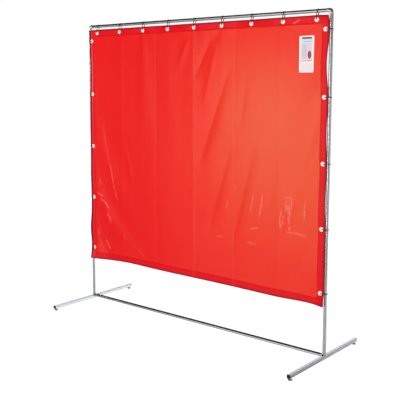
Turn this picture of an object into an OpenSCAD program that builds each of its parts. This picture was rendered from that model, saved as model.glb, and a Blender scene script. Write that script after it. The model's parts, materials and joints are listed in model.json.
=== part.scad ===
// Welding curtain screen: a plug-together tube frame on two T-shaped feet with levelling
// glides, carrying a PVC curtain that is tied on along its top and both sides.
// Millimetres. Origin on the floor at the middle of the screen, X along it, -Y in front.

/* [Frame] */
// Distance between the axes of the two uprights
screen_w = 1800; // [1200:50:2400]
// Height of the top rail's axis above the floor
rail_z = 1850; // [1700:10:2000]
// Outside diameter of every round tube
tube_d = 20; // [20:0.5:22]
// Wall of every round tube
tube_wall = 1.2; // [1:0.1:1.2]
// Height at which an upright meets its foot post
post_top_z = 226; // [150:2:260]
// Height of the stretcher's axis above the floor
stretcher_z = 30; // [30:1:60]

/* [Feet] */
// Length of a foot from front to back over its end caps
foot_len = 710; // [500:10:900]
// Outside width of the square foot tube
foot_w = 20; // [20:1:22]
// Wall of the square foot tube
foot_wall = 1.5; // [1:0.1:1.5]
// Clear height under the foot tubes
foot_clear = 12; // [12:0.5:16]
// Distance from a foot's end to its glide's axis
glide_inset = 17; // [17:1:40]

/* [Curtain] */
// Width of the curtain
curtain_w = 1796; // [1740:2:1800]
// Gap from the rail's axis down to the curtain's top edge
curtain_drop = 22; // [20:1:30]
// Height of the curtain's bottom corners above the floor
curtain_bottom_z = 293; // [260:1:400]
// How far the bottom edge rises between its corners
bottom_rise = 16; // [0:1:40]
// Width of the hem along every edge
hem_w = 42; // [40:1:60]
// Thickness of the film
film_t = 0.5; // [0.4:0.1:0.6]
// How far the film hangs in front of the tube axes
film_set = 12; // [12:0.5:14]

/* [Grommets and ties] */
// Number of grommets along the top
top_count = 9; // [5:1:11]
// Number of grommets down each side
side_count = 5; // [3:1:7]
// Outside diameter of a grommet
grommet_d = 24; // [22:0.5:24]
// Bore of a grommet
grommet_bore = 9; // [9:0.5:10]
// Distance from the film's side edge to a side grommet's axis
side_inset = 24; // [20:0.5:26]
// Distance from the film's top edge to a top grommet's axis
top_inset = 23; // [20:0.5:25]
// Distance from a top corner's side edge to the first top grommet's axis
corner_inset = 76; // [70:1:90]
// Distance from the top edge to the highest side grommet's axis
first_drop = 73; // [70:1:90]
// Distance from a bottom corner to the lowest side grommet's axis
last_rise = 77; // [60:1:100]
// Width of a cable tie's strap
tie_w = 4.8; // [3.6:0.1:4.8]
// Thickness of a cable tie's strap
tie_t = 1.2; // [1:0.1:1.2]

/* [Label] */
// Width of the label
label_w = 89; // [60:1:100]
// Height of the label
label_h = 190; // [150:1:210]

/* [Hidden] */
$fn = 48;

// Hairline between touching pieces of one joint
slip = 0.05;
// A cut runs past the faces that it opens
over = 1;

zinc = [0.72, 0.73, 0.75];
bright_zinc = [0.86, 0.87, 0.88];
black_plastic = [0.05, 0.05, 0.055];
rubber_black = [0.1, 0.1, 0.1];
film_red = [0.94, 0.2, 0.14];
cream = [0.96, 0.9, 0.84];
label_white = [0.94, 0.93, 0.93];

half_w = screen_w / 2;
tube_r = tube_d / 2;
bore_r = tube_r - tube_wall;

// Plug-in joints: a reduced spigot slides into the next tube and a sprung button locks it
spigot_r = bore_r - slip;
spigot_wall = 2;
spigot_bore_r = spigot_r - spigot_wall;
spigot_len = 50;
button_set = 25;
button_r = 2.5;
button_play = 0.08;
button_hole_r = button_r + button_play;
button_proud = 2.6;
button_tip = 0.9;
leaf_t = 0.5;
leaf_w = 7;
leaf_tail = 4;
leaf_len = 17;
leaf_inset = 2.2;
leaf_y = spigot_bore_r - leaf_inset;
leaf_gap = 0.2;

// Elbow at each top corner
elbow_r = 11;
elbow_bend = 12;
elbow_leg = 25;

// Stub between a foot post and the stretcher
collar_r = 9.5;
collar_len = 9;

// Feet
foot_z = foot_clear + foot_w / 2;
foot_top = foot_clear + foot_w;
foot_corner_r = 2;
tube_start = 5;
post_shoulder = 1;
cap_t = 3;
cap_bevel = 1;
cap_lip = 0.3;
cap_plug = 8;
cap_play = 0.1;
tube_end = foot_len / 2 - cap_t;
glide_y = foot_len / 2 - glide_inset;
weld_r = 1.6;
weld_sweep = 100;
weld_raise = 0.4;
collar_weld_r = 1.2;
// Round edges in small beads need no more sides than this
bead_fn = 24;

// Glide: rubber sole, domed pad, and an M8 stem that turns in the pad and screws into an insert
sole_r = 12;
sole_t = 2.5;
sole_bevel = 0.5;
groove_depth = 0.6;
groove_w = 1;
groove_rs = [4, 8];
pad_r = 11.4;
pad_top_r = 7;
pad_top_z = 7;
rim_h = 1.5;
rim_step = 0.6;
ball_r = 3;
ball_z = 4.4;
ball_play = 0.2;
neck_r = 2;
stem_r = 3.92;
stem_bevel = 1;
stem_headroom = 3.5;
stem_top = foot_top - foot_wall - stem_headroom;
nut_gap = 0.3;
nut_z = pad_top_z + nut_gap;
nut_t = 1.8;
nut_r = 6.4;
thread_r = 4;
insert_r = 5;
insert_len = 12;
insert_flange_r = 6.5;
insert_flange_t = 1;
insert_top = foot_clear + insert_len;

// Film, grommets and ties
half_c = curtain_w / 2;
curtain_top = rail_z - curtain_drop;
hem_t = 2 * film_t;
grommet_r = grommet_d / 2;
grommet_bore_r = grommet_bore / 2;
barrel_wall = 2;
flange_t = 1.5;
flange_rim = 0.9;
flange_bevel = 1.6;
film_slip = 0.1;
grommet_half = hem_t / 2 + film_slip + flange_t;
top_z = curtain_top - top_inset;
side_x = half_c - side_inset;
top_first = half_c - corner_inset;
side_top = curtain_top - first_drop;
side_bottom = curtain_bottom_z + last_rise;
tie_slip = 0.3;
tie_lift = 0.45;
tie_hold_r = grommet_half + tie_lift;
tie_sink = 0.6;
tie_reach = grommet_bore_r + tie_sink;
tie_wrap = 1;
tie_facet = 12;
tie_head = [6, 5.5, 4.2];
head_lift = 0.3;
head_share = 0.3;
label_inset = 133;
label_drop = 196;
label_t = 0.3;
arc_steps = 24;

top_xs = [for (i = [0 : top_count - 1]) top_first * (2 * i / (top_count - 1) - 1)];
side_zs = [for (i = [0 : side_count - 1])
    side_top + (side_bottom - side_top) * i / (side_count - 1)];

// ---------- tubes and plug-in joints ----------

module pipe(r, wall, len) {
    difference() {
        cylinder(r = r, h = len);
        translate([0, 0, -over]) cylinder(r = r - wall, h = len + 2 * over);
    }
}

// Hole for a button through the +Y wall
module button_hole(s) {
    translate([0, 0, s]) rotate([-90, 0, 0]) cylinder(r = button_hole_r, h = tube_r + over);
}

// Round tube along +Z with a button hole near each end that takes a spigot
module plug_tube(len, low_hole, high_hole) {
    difference() {
        pipe(tube_r, tube_wall, len);
        if (low_hole) button_hole(button_set);
        if (high_hole) button_hole(len - button_set);
    }
}

// Reduced end that plugs into a tube along +Z, bored out for its spring clip
module spigot() {
    difference() {
        pipe(spigot_r, spigot_wall, spigot_len);
        button_hole(button_set);
    }
}

// Snap button with the sprung leaf that carries it; s = 0 at the button's axis
module snap_button() {
    neck = tube_r + button_proud - leaf_y - leaf_t;
    color(bright_zinc) {
        translate([0, leaf_y + leaf_t, 0]) rotate([-90, 0, 0]) {
            cylinder(r = button_r, h = neck - button_tip);
            translate([0, 0, neck - button_tip])
                cylinder(r1 = button_r, r2 = button_r - button_tip, h = button_tip);
        }
        translate([-leaf_w / 2, leaf_y, -leaf_tail])
            cube([leaf_w, leaf_t, leaf_tail + leaf_len - leaf_gap]);
    }
}

// Fixed leaf and bend of the spring clip behind a button
module button_spring() {
    bend_r = leaf_y + leaf_t / 2;
    translate([-leaf_w / 2, -leaf_y - leaf_t, -leaf_tail])
        cube([leaf_w, leaf_t, leaf_tail + leaf_len]);
    translate([-leaf_w / 2, 0, leaf_len]) rotate([90, 0, 90])
        rotate_extrude(angle = 180) translate([bend_r - leaf_t / 2, 0]) square([leaf_t, leaf_w]);
}

// The four kinds of plug-in joint, side -1 at the left and 1 at the right
module at_foot_joint(side) {
    translate([side * half_w, 0, post_top_z + button_set]) children();
}

module at_upright_joint(side) {
    translate([side * half_w, 0, rail_z - elbow_leg - button_set]) mirror([0, 0, 1]) children();
}

module at_rail_joint(side) {
    translate([side * (half_w - elbow_leg - button_set), 0, rail_z])
        rotate([0, -90 * side, 0]) children();
}

module at_stretcher_joint(side) {
    translate([side * (half_w - foot_w / 2 - collar_len - button_set), 0, stretcher_z])
        rotate([0, -90 * side, 0]) children();
}

module button_springs() {
    color(bright_zinc) for (side = [-1, 1]) {
        at_foot_joint(side) button_spring();
        at_upright_joint(side) button_spring();
        at_rail_joint(side) button_spring();
        at_stretcher_joint(side) button_spring();
    }
}

module upright(side) {
    color(zinc) translate([side * half_w, 0, post_top_z])
        plug_tube(rail_z - elbow_leg - post_top_z, true, true);
}

module top_rail() {
    len = screen_w - 2 * elbow_leg;
    color(zinc) translate([-len / 2, 0, rail_z]) rotate([0, 90, 0]) plug_tube(len, true, true);
}

module stretcher() {
    len = screen_w - foot_w - 2 * collar_len;
    color(zinc) translate([-len / 2, 0, stretcher_z]) rotate([0, 90, 0])
        plug_tube(len, true, true);
}

// Elbow: two straight legs, a round bend between them and a spigot on each leg
module elbow(side) {
    leg = elbow_leg - elbow_bend;
    color(bright_zinc) translate([side * half_w, 0, rail_z]) {
        translate([0, 0, -elbow_leg]) {
            cylinder(r = elbow_r, h = leg);
            mirror([0, 0, 1]) spigot();
        }
        translate([-side * elbow_leg, 0, 0]) rotate([0, 90 * side, 0]) {
            cylinder(r = elbow_r, h = leg);
            mirror([0, 0, 1]) spigot();
        }
        translate([-side * elbow_bend, 0, -elbow_bend]) rotate([90, 0, 0])
            rotate([0, side > 0 ? 0 : 180, 0])
                rotate_extrude(angle = 90) translate([elbow_bend, 0]) circle(r = elbow_r);
    }
}

// ---------- feet ----------

module foot_post(side) {
    len = post_top_z - foot_clear;
    color(zinc) translate([side * half_w, 0, foot_clear]) {
        pipe(tube_r, foot_wall, len - post_shoulder);
        translate([0, 0, len - post_shoulder]) pipe(tube_r, tube_r - spigot_bore_r, post_shoulder);
        translate([0, 0, len]) spigot();
    }
}

module rounded_square(w, r) {
    square([w - 2 * r, w], center = true);
    square([w, w - 2 * r], center = true);
    for (x = [-1, 1], y = [-1, 1]) translate([x, y] * (w / 2 - r)) circle(r = r);
}

// Square tube from the post to one end of the foot, coped to the post and bored for the insert
module foot_tube(side, way) {
    color(zinc) translate([side * half_w, 0, foot_z]) difference() {
        rotate([-90 * way, 0, 0]) translate([0, 0, tube_start])
            linear_extrude(tube_end - tube_start) difference() {
                rounded_square(foot_w, foot_corner_r);
                rounded_square(foot_w - 2 * foot_wall, foot_corner_r / 2);
            }
        translate([0, 0, -foot_w]) cylinder(r = tube_r + slip, h = 2 * foot_w);
        translate([0, way * glide_y, -foot_w]) cylinder(r = insert_r + slip, h = foot_w);
    }
}

// Beads where the tubes and the stub meet the post
module foot_welds(side) {
    bead_x = sqrt(tube_r * tube_r - tube_start * tube_start) + weld_raise;
    bead_y = tube_start - weld_r / 2;
    color(zinc) translate([side * half_w, 0, 0]) {
        for (x = [-1, 1], y = [-1, 1]) translate([x * bead_x, y * bead_y, foot_clear + weld_raise])
            cylinder(r = weld_r, h = foot_w - 2 * weld_raise, $fn = bead_fn);
        for (turn = [0, 180], z = [foot_clear + weld_raise, foot_top - weld_raise / 2])
            translate([0, 0, z]) rotate([0, 0, turn + 90 - weld_sweep / 2])
                rotate_extrude(angle = weld_sweep) translate([tube_r + weld_raise, 0])
                    circle(r = weld_r, $fn = bead_fn);
        translate([-side * (foot_w / 2 + weld_raise), 0, stretcher_z]) rotate([0, 90, 0])
            rotate_extrude() translate([collar_r, 0]) circle(r = collar_weld_r, $fn = bead_fn);
    }
}

// Black push-in caps in the two open ends of a foot
module foot_end_caps(side) {
    plug_w = foot_w - 2 * (foot_wall + cap_play);
    color(black_plastic) for (way = [-1, 1]) translate([side * half_w, 0, foot_z])
        rotate([-90 * way, 0, 0]) translate([0, 0, tube_end]) {
            translate([0, 0, slip]) linear_extrude(cap_t - cap_bevel - slip)
                rounded_square(foot_w + 2 * cap_lip, foot_corner_r);
            translate([0, 0, cap_t - cap_bevel]) linear_extrude(cap_bevel)
                rounded_square(foot_w - cap_bevel, foot_corner_r);
            translate([0, 0, -cap_plug]) linear_extrude(cap_plug + over)
                rounded_square(plug_w, foot_corner_r / 2);
        }
}

module glide_inserts(side) {
    color(bright_zinc) for (way = [-1, 1]) translate([side * half_w, way * glide_y, 0])
        difference() {
            union() {
                translate([0, 0, foot_clear - insert_flange_t])
                    cylinder(r = insert_flange_r, h = insert_flange_t - slip);
                translate([0, 0, foot_clear - insert_flange_t])
                    cylinder(r = insert_r, h = insert_top - foot_clear + insert_flange_t);
            }
            cylinder(r = thread_r, h = insert_top + over);
        }
}

// Stem with its hexagon for a spanner and the ball that turns in the pad
module glide_stem(side, way) {
    color(bright_zinc) translate([side * half_w, way * glide_y, 0]) {
        translate([0, 0, ball_z]) sphere(r = ball_r);
        translate([0, 0, ball_z]) cylinder(r = neck_r, h = nut_z + over - ball_z);
        translate([0, 0, nut_z]) cylinder(r = nut_r, h = nut_t, $fn = 6);
        translate([0, 0, nut_z + over])
            cylinder(r = stem_r, h = stem_top - nut_z - over - stem_bevel);
        translate([0, 0, stem_top - stem_bevel])
            cylinder(r1 = stem_r, r2 = stem_r - stem_bevel, h = stem_bevel);
    }
}

module glide_pad(side, way) {
    color(bright_zinc) translate([side * half_w, way * glide_y, 0]) difference() {
        union() {
            translate([0, 0, sole_t + slip]) cylinder(r = pad_r, h = rim_h);
            translate([0, 0, sole_t + slip + rim_h])
                cylinder(r1 = pad_r - rim_step, r2 = pad_top_r, h = pad_top_z - sole_t - rim_h - slip);
        }
        translate([0, 0, ball_z]) sphere(r = ball_r + slip);
        translate([0, 0, ball_z]) cylinder(r = neck_r + slip, h = pad_top_z);
        translate([0, 0, sole_t]) cylinder(r = ball_r - rim_step, h = ball_z - sole_t);
    }
}

module glide_sole(side, way) {
    color(rubber_black) translate([side * half_w, way * glide_y, 0]) difference() {
        union() {
            cylinder(r1 = sole_r - sole_bevel, r2 = sole_r, h = sole_bevel);
            translate([0, 0, sole_bevel]) cylinder(r = sole_r, h = sole_t - sole_bevel);
        }
        translate([0, 0, ball_z]) sphere(r = ball_r + ball_play);
        for (r = groove_rs) translate([0, 0, -over]) difference() {
            cylinder(r = r + groove_w, h = over + groove_depth);
            cylinder(r = r, h = over + groove_depth);
        }
    }
}

// Turned stub on the post: a bright collar, then the spigot that carries the stretcher
module stretcher_stub(side) {
    color(bright_zinc) at_stretcher_joint(side) translate([0, 0, -button_set]) {
        spigot();
        translate([0, 0, -collar_len + slip]) cylinder(r = collar_r, h = collar_len - slip);
    }
}

// ---------- curtain, grommets and ties ----------

// Height of the curtain's bottom edge at x: lowest at its corners
function bottom_edge(x) = curtain_bottom_z + bottom_rise * (1 - pow(x / half_c, 2));

// Outline of the film, drawn in by inset on every edge
function film_outline(inset) = concat(
    [[half_c - inset, curtain_top - inset], [-half_c + inset, curtain_top - inset]],
    [for (i = [0 : arc_steps]) let (x = (half_c - inset) * (2 * i / arc_steps - 1))
        [x, bottom_edge(x) + inset]]);

module at_each_grommet() {
    for (x = top_xs) translate([x, -film_set, top_z]) children();
    for (side = [-1, 1], z = side_zs) translate([side * side_x, -film_set, z]) children();
}

module upright_sheet(t) {
    translate([0, -film_set + t / 2, 0]) rotate([90, 0, 0]) linear_extrude(t) children();
}

// Clear film with a doubled hem round all four edges and a hole for each grommet
module curtain() {
    color(film_red) difference() {
        union() {
            upright_sheet(film_t) polygon(film_outline(1));
            upright_sheet(hem_t) difference() {
                polygon(film_outline(0));
                polygon(film_outline(hem_w));
            }
        }
        at_each_grommet() rotate([90, 0, 0]) cylinder(
            r = grommet_bore_r + barrel_wall + film_slip, h = 4 * hem_t, center = true);
    }
}

// Grommet: two flanges on a barrel, the film held between them
module grommet() {
    inner = hem_t / 2 + film_slip;
    barrel_r = grommet_bore_r + barrel_wall;
    rotate([90, 0, 0]) difference() {
        union() {
            cylinder(r = barrel_r, h = 2 * grommet_half, center = true);
            for (face = [0, 1]) mirror([0, 0, face]) {
                translate([0, 0, inner]) cylinder(r = grommet_r, h = flange_rim);
                translate([0, 0, inner + flange_rim]) cylinder(
                    r1 = grommet_r, r2 = grommet_r - flange_bevel, h = flange_t - flange_rim);
            }
        }
        cylinder(r = grommet_bore_r, h = 4 * grommet_half, center = true);
    }
}

module top_grommets() {
    color(cream) for (x = top_xs) translate([x, -film_set, top_z]) grommet();
}

module side_grommets(side) {
    color(cream) for (z = side_zs) translate([side * side_x, -film_set, z]) grommet();
}

// Direction square to a belt's straight run from ring a to ring b, each [centre, radius]
function run_normal(a, b) =
    let (d = b[0] - a[0]) atan2(d[1], d[0]) - acos((a[1] - b[1]) / norm(d));

// Outline of a belt drawn tight round rings taken counter-clockwise, each grown by extra
function belt(rings, extra) =
    let (n = len(rings))
    [for (i = [0 : n - 1])
        let (
            first = run_normal(rings[(i + n - 1) % n], rings[i]),
            last = run_normal(rings[i], rings[(i + 1) % n]),
            sweep = (last - first + 720) % 360,
            steps = ceil(sweep / tie_facet)
        )
        for (k = [0 : steps]) let (t = first + sweep * k / steps)
            rings[i][0] + (rings[i][1] + extra) * [cos(t), sin(t)]];

// Cable tie: its strap rounds a tube at the origin, runs down the front of the film from its
// edge and passes through a grommet at reach. Its head is on the back run, its tail cut flush.
module tie(reach, edge) {
    hold = reach - tie_reach * reach / norm(reach);
    round_tube = [[0, 0], tube_r + tie_slip];
    round_edge = [[reach[0], edge - tie_wrap], tie_hold_r];
    round_hold = [[reach[0], hold[1]], tie_hold_r];
    rings = [round_tube, round_edge, round_hold];
    back = run_normal(round_hold, round_tube);
    outward = [cos(back), sin(back)];
    low = round_hold[0] + round_hold[1] * outward;
    high = round_tube[1] * outward;
    linear_extrude(tie_w, center = true) difference() {
        polygon(belt(rings, tie_t));
        polygon(belt(rings, 0));
    }
    translate(low + head_share * (high - low) + (head_lift + tie_head[2] / 2) * outward)
        rotate([0, 0, back]) cube([tie_head[2], tie_head[1], tie_head[0]], center = true);
}

// A tie's own plane has x across the film (front negative) and y from the tube to the grommet
module top_ties() {
    reach = [-film_set, top_z - rail_z];
    color(black_plastic) for (x = top_xs) translate([x, 0, rail_z])
        rotate([90, 0, 90]) tie(reach, -curtain_drop);
}

module side_ties(side) {
    reach = [-film_set, side_x - half_w];
    color(black_plastic) for (z = side_zs) translate([side * half_w, 0, z])
        rotate([0, 0, 90]) mirror([0, side > 0 ? 0 : 1, 0]) mirror([0, 1, 0])
            tie(reach, half_c - half_w);
}

module label_patch() {
    color(label_white)
        translate([half_c - label_inset, -film_set - film_t / 2 - slip, curtain_top - label_drop])
            rotate([90, 0, 0]) linear_extrude(label_t) square([label_w, label_h], center = true);
}

foot_post(-1);  // left_foot_post
foot_post(1);  // right_foot_post
foot_tube(-1, -1);  // left_foot_front_tube
foot_tube(-1, 1);  // left_foot_rear_tube
foot_tube(1, -1);  // right_foot_front_tube
foot_tube(1, 1);  // right_foot_rear_tube
foot_welds(-1);  // left_foot_welds
foot_welds(1);  // right_foot_welds
foot_end_caps(-1);  // left_foot_end_caps
foot_end_caps(1);  // right_foot_end_caps
glide_inserts(-1);  // left_glide_inserts
glide_inserts(1);  // right_glide_inserts
glide_stem(-1, -1);  // left_front_glide_stem
glide_stem(-1, 1);  // left_rear_glide_stem
glide_stem(1, -1);  // right_front_glide_stem
glide_stem(1, 1);  // right_rear_glide_stem
glide_pad(-1, -1);  // left_front_glide_pad
glide_pad(-1, 1);  // left_rear_glide_pad
glide_pad(1, -1);  // right_front_glide_pad
glide_pad(1, 1);  // right_rear_glide_pad
glide_sole(-1, -1);  // left_front_glide_sole
glide_sole(-1, 1);  // left_rear_glide_sole
glide_sole(1, -1);  // right_front_glide_sole
glide_sole(1, 1);  // right_rear_glide_sole
stretcher_stub(-1);  // left_stretcher_stub
stretcher_stub(1);  // right_stretcher_stub
stretcher();
upright(-1);  // left_upright
upright(1);  // right_upright
elbow(-1);  // left_elbow
elbow(1);  // right_elbow
top_rail();
at_foot_joint(-1) snap_button();  // left_foot_button
at_foot_joint(1) snap_button();  // right_foot_button
at_stretcher_joint(-1) snap_button();  // left_stretcher_button
at_stretcher_joint(1) snap_button();  // right_stretcher_button
at_upright_joint(-1) snap_button();  // left_upright_button
at_upright_joint(1) snap_button();  // right_upright_button
at_rail_joint(-1) snap_button();  // left_rail_button
at_rail_joint(1) snap_button();  // right_rail_button
button_springs();
curtain();
label_patch();
top_grommets();
side_grommets(-1);  // left_grommets
side_grommets(1);  // right_grommets
top_ties();
side_ties(-1);  // left_ties
side_ties(1);  // right_ties
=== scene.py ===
"""Welding curtain screen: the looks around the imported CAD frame.

The film is simulated as cloth hung from its grommets, then given its packing creases, soft
drapes and handling marks. Its turned border, heat-sealed line and label are built on that
draped surface.
"""

import json
import math

import bpy
import numpy as np
from mathutils import Euler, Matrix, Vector


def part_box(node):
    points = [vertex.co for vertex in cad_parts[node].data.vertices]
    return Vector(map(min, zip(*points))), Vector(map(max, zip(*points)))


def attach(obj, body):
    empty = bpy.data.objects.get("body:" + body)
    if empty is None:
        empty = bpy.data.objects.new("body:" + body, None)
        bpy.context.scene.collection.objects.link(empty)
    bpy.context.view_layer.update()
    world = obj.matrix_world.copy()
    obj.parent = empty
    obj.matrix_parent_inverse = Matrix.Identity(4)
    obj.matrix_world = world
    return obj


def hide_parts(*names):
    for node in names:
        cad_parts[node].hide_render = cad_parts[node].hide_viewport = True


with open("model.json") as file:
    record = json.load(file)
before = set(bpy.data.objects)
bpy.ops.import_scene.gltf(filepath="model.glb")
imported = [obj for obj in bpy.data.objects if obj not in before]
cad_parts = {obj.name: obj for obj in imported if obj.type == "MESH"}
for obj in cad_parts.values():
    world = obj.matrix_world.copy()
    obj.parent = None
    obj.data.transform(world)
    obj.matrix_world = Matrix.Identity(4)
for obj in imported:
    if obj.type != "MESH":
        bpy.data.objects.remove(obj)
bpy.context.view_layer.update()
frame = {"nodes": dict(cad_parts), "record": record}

# ---------------- places, from the frame

FILM_LOW, FILM_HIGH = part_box("curtain")
FILM_Y = (FILM_LOW.y + FILM_HIGH.y) / 2
HALF_W = FILM_HIGH.x
TOP_Z = FILM_HIGH.z
BOTTOM_Z = FILM_LOW.z
FILM_HEIGHT = TOP_Z - BOTTOM_Z
# How far the film's bottom edge rises between its corners
BOTTOM_RISE = 0.016
TOP_GROMMETS, SIDE_GROMMETS = 9, 5

# The film's grid: whole columns between packing creases, so that a crease runs along a column
CREASE_COUNT = 6
COLUMNS, ROWS = 84 * CREASE_COUNT, 300
# The turned border
HEM_W = 0.042
HEM_COLUMNS = round(HEM_W / (2 * HALF_W) * COLUMNS)
HEM_ROWS = round(HEM_W / FILM_HEIGHT * ROWS)
# Film thickness, and how far in front of the draped surface the film's back lies
FILM_T = 0.0005
LAYER_GAP = 0.00005
# Film within HELD_R of a grommet's axis stays flat, and its relief builds up over HELD_EASE
HELD_R, HELD_EASE = 0.014, 0.03
# The hole that each grommet's neck fills, and how far outside it the film's points are drawn
HOLE_R = 0.0085
HOLE_ROOM = 1.05
# The film's outer strips hang in front of the uprights and can't move back into them: the
# limit takes hold over UPRIGHT_EASE, and leaves the film BACK_PLAY there, FREE_PLAY elsewhere
UPRIGHT_EASE = 0.010
UPRIGHT_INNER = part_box("right_upright")[0].x - UPRIGHT_EASE
BACK_PLAY, FREE_PLAY = 0.0005, 0.05


def grommet_centres():
    """(x, z) of each grommet's axis, top row first and then down each side."""
    low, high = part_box("top_grommets")
    radius = (high.z - low.z) / 2
    z = (low.z + high.z) / 2
    centres = [(x, z) for x in np.linspace(low.x + radius, high.x - radius, TOP_GROMMETS)]
    for node in ("left_grommets", "right_grommets"):
        low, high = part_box(node)
        x = (low.x + high.x) / 2
        centres += [(x, z) for z in np.linspace(low.z + radius, high.z - radius, SIDE_GROMMETS)]
    return np.array(centres)


def bottom_edge(x):
    """Height of the film's bottom edge before it drapes: an arc, lowest at the corners."""
    return BOTTOM_Z + BOTTOM_RISE * (1 - (x / HALF_W) ** 2)


def nearest_grommet(points, centres):
    """Distance in the film's plane from each point to the nearest grommet's axis."""
    x, z = points[..., 0], points[..., 2]
    return np.min([np.hypot(x - cx, z - cz) for cx, cz in centres], axis=0)


def film_grid(columns, rows):
    """Flat film points as an array [column, row, xyz], row 0 along the bottom edge."""
    x = np.linspace(-HALF_W, HALF_W, columns + 1)[:, None] * np.ones((1, rows + 1))
    share = np.linspace(0, 1, rows + 1)[None, :]
    low = bottom_edge(x)
    return np.stack([x, np.full_like(x, FILM_Y), low + (TOP_Z - low) * share], axis=-1)


# ---------------- mesh helpers


def grid_quads(columns, rows):
    """The four points of each cell of a grid, as an array [column, row, corner]."""
    index = np.arange((columns + 1) * (rows + 1)).reshape(columns + 1, rows + 1)
    return np.stack([index[:-1, :-1], index[1:, :-1], index[1:, 1:], index[:-1, 1:]], axis=-1)


def new_piece(name, points, faces, material):
    """A smooth-shaded mesh object from points and faces, riding on the screen's body."""
    mesh = bpy.data.meshes.new(name)
    mesh.from_pydata([tuple(p) for p in points], [], [tuple(f) for f in faces])
    mesh.validate()
    mesh.materials.append(material)
    mesh.polygons.foreach_set("use_smooth", [True] * len(mesh.polygons))
    piece = bpy.data.objects.new(name, mesh)
    bpy.context.scene.collection.objects.link(piece)
    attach(piece, "screen")
    return piece


def add_share(piece, name, values):
    """Stores one value per point on a piece, for its material to read."""
    layer = piece.data.attributes.new(name, "FLOAT", "POINT")
    layer.data.foreach_set("value", values)


def grid_normals(points):
    """Unit normals of a film grid, pointing to the back (+Y)."""
    along_x = np.gradient(points, axis=0)
    along_z = np.gradient(points, axis=1)
    normal = np.cross(along_z, along_x)
    return normal / np.linalg.norm(normal, axis=-1, keepdims=True)


def sheet_solid(points, normals, cells, front, back):
    """Closed solid over the kept cells of a grid, from front to back along the normals.

    Returns its points, its faces, and the grid point that each of its points came from.
    """
    quads = grid_quads(*cells.shape)[cells]
    used = np.unique(quads)
    renumber = np.zeros(len(points) * len(points[0]), int)
    renumber[used] = np.arange(len(used))
    quads = renumber[quads]
    flat_points = points.reshape(-1, 3)[used]
    flat_normals = normals.reshape(-1, 3)[used]
    edges = np.concatenate([quads[:, [k, (k + 1) % 4]] for k in range(4)])
    lookup = {(a, b) for a, b in edges.tolist()}
    rim = sorted((a, b) for a, b in lookup if (b, a) not in lookup)
    count = len(used)
    sides = [(b, a, a + count, b + count) for a, b in rim]
    solid = np.concatenate([flat_points + flat_normals * front, flat_points + flat_normals * back])
    faces = quads.tolist() + (quads[:, ::-1] + count).tolist() + sides
    return solid, faces, np.concatenate([used, used])


# ---------------- node material helpers


def new_material(name):
    """A node material with its nodes, its links and its main shader."""
    material = bpy.data.materials.new(name)
    material.use_nodes = True
    nodes = material.node_tree.nodes
    return material, nodes, material.node_tree.links, nodes["Principled BSDF"]


def place(nodes, links, scale=(1, 1, 1)):
    """Object coordinates, in metres, stretched by scale."""
    coordinates = nodes.new("ShaderNodeTexCoord")
    mapping = nodes.new("ShaderNodeMapping")
    mapping.inputs["Scale"].default_value = scale
    links.new(coordinates.outputs["Object"], mapping.inputs["Vector"])
    return mapping.outputs["Vector"]


def split(nodes, links, vector):
    """The X, Y and Z of a vector."""
    node = nodes.new("ShaderNodeSeparateXYZ")
    links.new(vector, node.inputs["Vector"])
    return node.outputs["X"], node.outputs["Y"], node.outputs["Z"]


def noise(nodes, links, vector, scale, detail=3.0, rough=0.55):
    """Cloudy values about 0.5; a larger scale makes them finer."""
    texture = nodes.new("ShaderNodeTexNoise")
    texture.inputs["Scale"].default_value = scale
    texture.inputs["Detail"].default_value = detail
    texture.inputs["Roughness"].default_value = rough
    links.new(vector, texture.inputs["Vector"])
    return texture.outputs["Fac"]


def ramp(nodes, links, factor, stops):
    """Colour ramp; stops are (position, grey or colour)."""
    node = nodes.new("ShaderNodeValToRGB")
    links.new(factor, node.inputs["Fac"])
    elements = node.color_ramp.elements
    while len(elements) < len(stops):
        elements.new(0.5)
    for element, (position, colour) in zip(elements, stops):
        element.position = position
        grey = isinstance(colour, (int, float))
        element.color = (colour, colour, colour, 1) if grey else (*colour, 1)
    return node.outputs["Color"]


def math_node(nodes, links, kind, a, b=None, c=None, clamp=False):
    """A math node; each of its values is a number or another node's output."""
    node = nodes.new("ShaderNodeMath")
    node.operation = kind
    node.use_clamp = clamp
    for slot, value in ((0, a), (1, b), (2, c)):
        if value is None:
            continue
        if isinstance(value, (int, float)):
            node.inputs[slot].default_value = value
        else:
            links.new(value, node.inputs[slot])
    return node.outputs[0]


def range_share(nodes, links, value, low, high, curve="LINEAR"):
    """0 below low, 1 above high, and in between along a line or a smooth step."""
    node = nodes.new("ShaderNodeMapRange")
    node.interpolation_type = curve
    node.inputs["From Min"].default_value = low
    node.inputs["From Max"].default_value = high
    links.new(value, node.inputs["Value"])
    return node.outputs["Result"]


def profile(nodes, links, value, stops):
    """Strength read off along value; stops are (value, strength) in rising order."""
    low, high = stops[0][0], stops[-1][0]
    top = max(strength for _, strength in stops)
    shares = [((at - low) / (high - low), strength / top) for at, strength in stops]
    grey = ramp(nodes, links, range_share(nodes, links, value, low, high), shares)
    return math_node(nodes, links, "MULTIPLY", grey, top)


def mix(nodes, links, factor, a, b):
    """Colour a where factor is 0, b where it is 1."""
    node = nodes.new("ShaderNodeMix")
    node.data_type = "RGBA"
    for slot, value in ((0, factor), (6, a), (7, b)):
        if isinstance(value, (int, float)):
            node.inputs[slot].default_value = value
        elif isinstance(value, tuple):
            node.inputs[slot].default_value = (*value, 1)
        else:
            links.new(value, node.inputs[slot])
    return node.outputs[2]


def stored(nodes, name):
    """A value that add_share stored on the mesh."""
    node = nodes.new("ShaderNodeAttribute")
    node.attribute_name = name
    return node.outputs["Fac"]


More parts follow.
